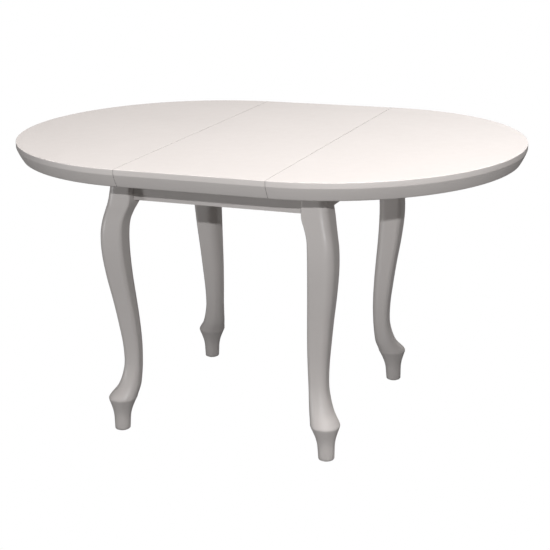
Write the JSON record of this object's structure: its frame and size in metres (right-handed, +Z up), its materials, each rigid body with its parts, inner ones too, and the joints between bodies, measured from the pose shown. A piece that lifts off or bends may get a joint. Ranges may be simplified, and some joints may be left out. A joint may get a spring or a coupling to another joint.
{
  "type": "extendable dining table",
  "caption": "Oval extending dining table: two half-round tops slide apart on wooden runners for a drop-in leaf, over a railed frame on cabriole legs with pad feet.",
  "frame": {"origin": "on the floor, straight below the middle of the top with the leaf in place", "axes": "+X along the table's length, towards the right half top; +Y towards the back; +Z up"},
  "size_m": [1.3298, 0.95, 0.745],
  "materials": {
    "painted_wood": "warm light grey satin paint on solid wood",
    "runner_wood": "waxed beech",
    "unpainted_wood": "plain sanded pine",
    "steel_screws": "zinc plated",
    "nylon": "natural nylon"
  },
  "bodies": {
    "frame": {"back_rail": "painted_wood", "back_slide_guide": "runner_wood", "brace_screws": "steel_screws", "corner_brace_back_left": "unpainted_wood", "corner_brace_back_right": "unpainted_wood", "corner_brace_front_left": "unpainted_wood", "corner_brace_front_right": "unpainted_wood", "cross_rail": "unpainted_wood", "foot_glide_back_left": "nylon", "foot_glide_back_right": "nylon", "foot_glide_front_left": "nylon", "foot_glide_front_right": "nylon", "front_rail": "painted_wood", "front_slide_guide": "runner_wood", "guide_screws": "steel_screws", "left_rail": "painted_wood", "leg_back_left": "painted_wood", "leg_back_right": "painted_wood", "leg_bolt_nuts": "steel_screws", "leg_bolt_washers": "steel_screws", "leg_bolts": "steel_screws", "leg_front_left": "painted_wood", "leg_front_right": "painted_wood", "right_rail": "painted_wood", "slide_stop_pins": "steel_screws"},
    "left_half": {"left_end_batten": "unpainted_wood", "left_runner_back": "runner_wood", "left_runner_front": "runner_wood", "left_slide_key_back": "runner_wood", "left_slide_key_front": "runner_wood", "left_top_edge": "painted_wood", "left_top_panel": "painted_wood", "left_top_screws": "steel_screws"},
    "right_half": {"right_end_batten": "unpainted_wood", "right_runner_back": "runner_wood", "right_runner_front": "runner_wood", "right_slide_key_back": "runner_wood", "right_slide_key_front": "runner_wood", "right_top_edge": "painted_wood", "right_top_panel": "painted_wood", "right_top_screws": "steel_screws"},
    "leaf": {"leaf_cleat_back": "unpainted_wood", "leaf_cleat_front": "unpainted_wood", "leaf_cleat_screws": "steel_screws", "leaf_edge_back": "painted_wood", "leaf_edge_front": "painted_wood", "leaf_panel": "painted_wood"}
  },
  "joints": [
    {"name": "left_half_slide", "type": "slide", "parent": "frame", "child": "left_half", "axis": [-1, 0, 0], "range_m": [0, 0.075]},
    {"name": "right_half_slide", "type": "slide", "parent": "frame", "child": "right_half", "axis": [1, 0, 0], "range_m": [0, 0.025]},
    {"name": "leaf_lift", "type": "slide", "parent": "frame", "child": "leaf", "axis": [0, 0, 1], "range_m": [0, 0.25]}
  ]
}
